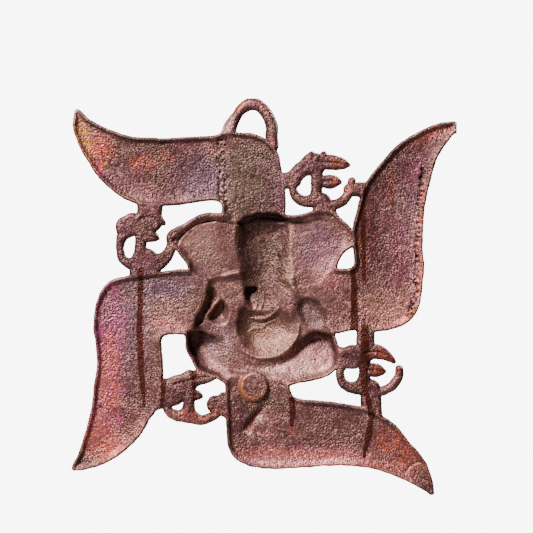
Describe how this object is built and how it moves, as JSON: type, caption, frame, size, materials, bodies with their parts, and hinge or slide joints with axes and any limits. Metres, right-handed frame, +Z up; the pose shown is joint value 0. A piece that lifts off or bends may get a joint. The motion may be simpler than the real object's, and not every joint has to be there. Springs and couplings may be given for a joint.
{
  "type": "bronze wall plaque",
  "caption": "Openwork cast bronze plaque: a seated elephant-headed figure on a hooked, flame-armed cross, with a loop to hang it by.",
  "frame": {"origin": "the hook's seat, the small flat at the inner top of the hanging loop", "axes": "+Z up as hung; -Y out of the wall, the way the relief faces; +Y into the wall, the way the open back faces"},
  "size_m": [0.1936, 0.0158, 0.1993],
  "materials": {
    "bronze": "rough sand-cast bronze with purple and copper heat tints"
  },
  "bodies": {
    "root": {"plaque": "bronze"}
  },
  "joints": []
}
